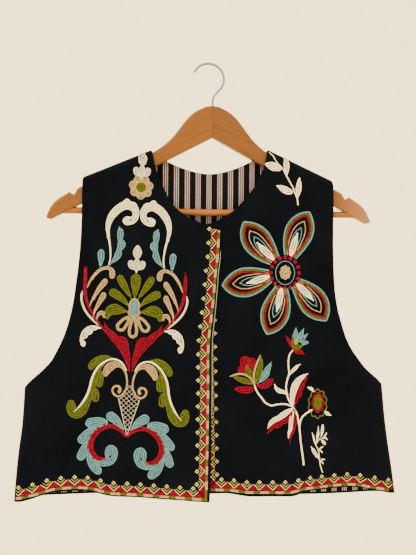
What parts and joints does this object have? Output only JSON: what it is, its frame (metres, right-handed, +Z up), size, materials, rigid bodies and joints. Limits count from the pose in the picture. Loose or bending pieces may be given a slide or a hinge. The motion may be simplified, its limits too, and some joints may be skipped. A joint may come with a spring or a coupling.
{
  "type": "embroidered folk vest on a wooden coat hanger",
  "caption": "Waist-length sleeveless open-front vest with embroidered fronts and a striped lining, hung on a flat wooden hanger with a round bar and a wire hook.",
  "frame": {"origin": "the inside of the hook's top, where the hook bears on the screw or rail that holds it", "axes": "+Z up; the fronts face -Y; +X towards the wearer's left"},
  "size_m": [0.5314, 0.0339, 0.6058],
  "materials": {
    "black_linen": "plain woven black linen, matt, with embroidery sewn on",
    "striped_lining": "black cotton with pale and maroon woven stripes",
    "cream_thread": "cotton embroidery thread, soft sheen",
    "grey_white_thread": "cotton embroidery thread, soft sheen",
    "tan_thread": "cotton embroidery thread, soft sheen",
    "olive_thread": "cotton embroidery thread, soft sheen",
    "blue_thread": "cotton embroidery thread, soft sheen",
    "red_thread": "cotton embroidery thread, soft sheen",
    "varnished_beech": "orange-brown varnished beech, satin",
    "beech_bar": "lighter varnished beech dowel, satin",
    "steel_wire": "bright bent steel wire"
  },
  "bodies": {
    "root": {"front_right": "black_linen", "front_left": "black_linen", "back": "black_linen", "front_right_lining": "striped_lining", "front_left_lining": "striped_lining", "back_lining": "striped_lining", "hanger_arm_right": "varnished_beech", "hanger_arm_left": "varnished_beech", "hanger_bar": "beech_bar", "hanger_hook": "steel_wire"}
  },
  "joints": []
}
